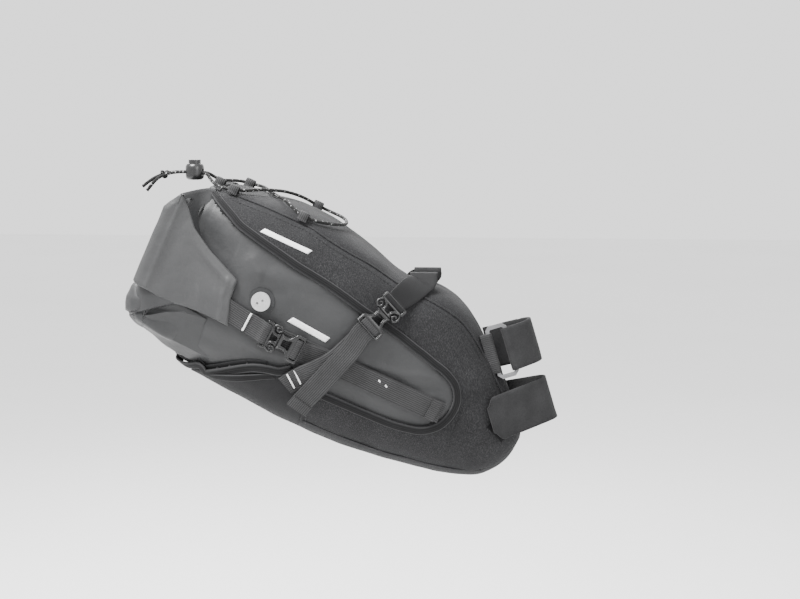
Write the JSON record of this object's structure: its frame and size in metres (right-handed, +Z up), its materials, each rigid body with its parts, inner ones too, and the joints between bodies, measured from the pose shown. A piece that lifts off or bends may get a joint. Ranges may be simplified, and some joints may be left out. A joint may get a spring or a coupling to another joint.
{
  "type": "bicycle saddle bag",
  "caption": "Roll-top seat pack: a dry bag in a tapered harness, held under a saddle by straps round both rails and the seatpost, with side-release buckles, purge valve and elastic cord.",
  "frame": {"origin": "on the seatpost axis at mid-width of the lower seatpost strap", "axes": "+X forward along the bicycle, +Y left, +Z up"},
  "size_m": [0.3888, 0.1696, 0.2914],
  "materials": {
    "harness_fabric": "fine heather-grey laminated ripstop fabric",
    "coated_fabric": "smooth coated waterproof fabric, semi-matte",
    "binding_tape": "woven grosgrain binding",
    "webbing": "ribbed woven webbing",
    "rail_webbing": "smooth black webbing",
    "hook_and_loop": "grey hook and loop strap",
    "buckle_plastic": "black moulded acetal",
    "ring_plastic": "light grey moulded plastic",
    "valve_plastic": "white moulded plastic",
    "stiffener_plastic": "black sheet plastic",
    "spring_steel": "spring steel",
    "elastic_cord": "black braided elastic cord with light flecks"
  },
  "bodies": {
    "bag": {"harness_top_panel": "harness_fabric", "harness_side_panel_right": "harness_fabric", "harness_side_panel_left": "harness_fabric", "harness_belly_panel": "harness_fabric", "dry_bag": "coated_fabric", "roll_closure": "coated_fabric", "wing_panel_right": "coated_fabric", "wing_panel_left": "coated_fabric", "window_binding_right": "binding_tape", "window_binding_left": "binding_tape", "lip_binding": "binding_tape", "cord_loops": "binding_tape", "roll_webbing_right": "webbing", "roll_webbing_left": "webbing", "side_webbing_right": "webbing", "side_webbing_left": "webbing", "roll_strap_right": "webbing", "roll_strap_left": "webbing", "rail_strap_right": "rail_webbing", "rail_strap_left": "rail_webbing", "lower_post_strap": "hook_and_loop", "upper_post_strap": "hook_and_loop", "ring_anchor_strap": "hook_and_loop", "hook_pad_right": "hook_and_loop", "hook_pad_left": "hook_and_loop", "roll_buckle_male_right": "buckle_plastic", "roll_buckle_male_left": "buckle_plastic", "side_buckle_male_right": "buckle_plastic", "side_buckle_male_left": "buckle_plastic", "strap_ring": "ring_plastic", "valve_body": "valve_plastic", "valve_nut": "valve_plastic", "base_stiffener": "stiffener_plastic", "roll_stiffener": "stiffener_plastic", "cord_lacing": "elastic_cord", "cord_tail_inner": "elastic_cord", "cord_tail_outer": "elastic_cord", "cord_knot": "elastic_cord"},
    "roll_buckle_right": {"roll_buckle_female_right": "buckle_plastic", "roll_strap_tail_right": "webbing"},
    "roll_buckle_left": {"roll_buckle_female_left": "buckle_plastic", "roll_strap_tail_left": "webbing"},
    "side_buckle_right": {"side_buckle_female_right": "buckle_plastic", "side_strap_tail_right": "webbing"},
    "side_buckle_left": {"side_buckle_female_left": "buckle_plastic", "side_strap_tail_left": "webbing"},
    "flap_right": {"roll_flap_right": "coated_fabric"},
    "flap_left": {"roll_flap_left": "coated_fabric"},
    "lower_strap_tab": {"lower_strap_end": "hook_and_loop"},
    "upper_strap_tab": {"upper_strap_end": "hook_and_loop"},
    "cord_lock": {"cord_lock_body": "buckle_plastic", "cord_lock_spring": "spring_steel"},
    "lock_button": {"cord_lock_button": "buckle_plastic"},
    "valve_cap_body": {"valve_cap": "valve_plastic"}
  },
  "joints": [
    {"name": "roll_buckle_right_release", "type": "slide", "parent": "bag", "child": "roll_buckle_right", "axis": [0.8844, 0.0832, -0.4592], "range_m": [0, 0.0125]},
    {"name": "roll_buckle_left_release", "type": "slide", "parent": "bag", "child": "roll_buckle_left", "axis": [0.8844, -0.0832, -0.4592], "range_m": [0, 0.0125]},
    {"name": "side_buckle_right_release", "type": "slide", "parent": "bag", "child": "side_buckle_right", "axis": [-0.6971, -0.3045, -0.6491], "range_m": [0, 0.0125]},
    {"name": "side_buckle_left_release", "type": "slide", "parent": "bag", "child": "side_buckle_left", "axis": [-0.6971, 0.3045, -0.6491], "range_m": [0, 0.0125]},
    {"name": "flap_right_fold", "type": "hinge", "parent": "bag", "child": "flap_right", "pos_m": [-0.33892, -0.08, 0.1509], "axis": [-0.4067, 0, -0.9135], "range_deg": [0, 80]},
    {"name": "flap_left_fold", "type": "hinge", "parent": "bag", "child": "flap_left", "pos_m": [-0.33892, 0.08, 0.1509], "axis": [0.4067, 0, 0.9135], "range_deg": [0, 80]},
    {"name": "lower_strap_peel", "type": "hinge", "parent": "bag", "child": "lower_strap_tab", "pos_m": [0.00737, -0.01318, 0.00218], "axis": [-0.284, 0, 0.9588], "range_deg": [0, 100]},
    {"name": "upper_strap_peel", "type": "hinge", "parent": "bag", "child": "upper_strap_tab", "pos_m": [-0.01218, 0.01693, 0.05428], "axis": [0.284, 0, -0.9588], "range_deg": [0, 90]},
    {"name": "cord_lock_slide", "type": "slide", "parent": "bag", "child": "cord_lock", "axis": [-1, 0, 0], "range_m": [0, 0.006]},
    {"name": "lock_button_press", "type": "slide", "parent": "cord_lock", "child": "lock_button", "axis": [0, 0, -1], "range_m": [0, 0.0022], "stiffness_N_per_m": 600, "springref_m": -0.0005},
    {"name": "valve_cap_turn", "type": "hinge", "parent": "bag", "child": "valve_cap_body", "pos_m": [-0.24218, -0.07263, 0.09823], "axis": [0.0004, -1, 0.0009], "range_deg": [0, 90]}
  ]
}
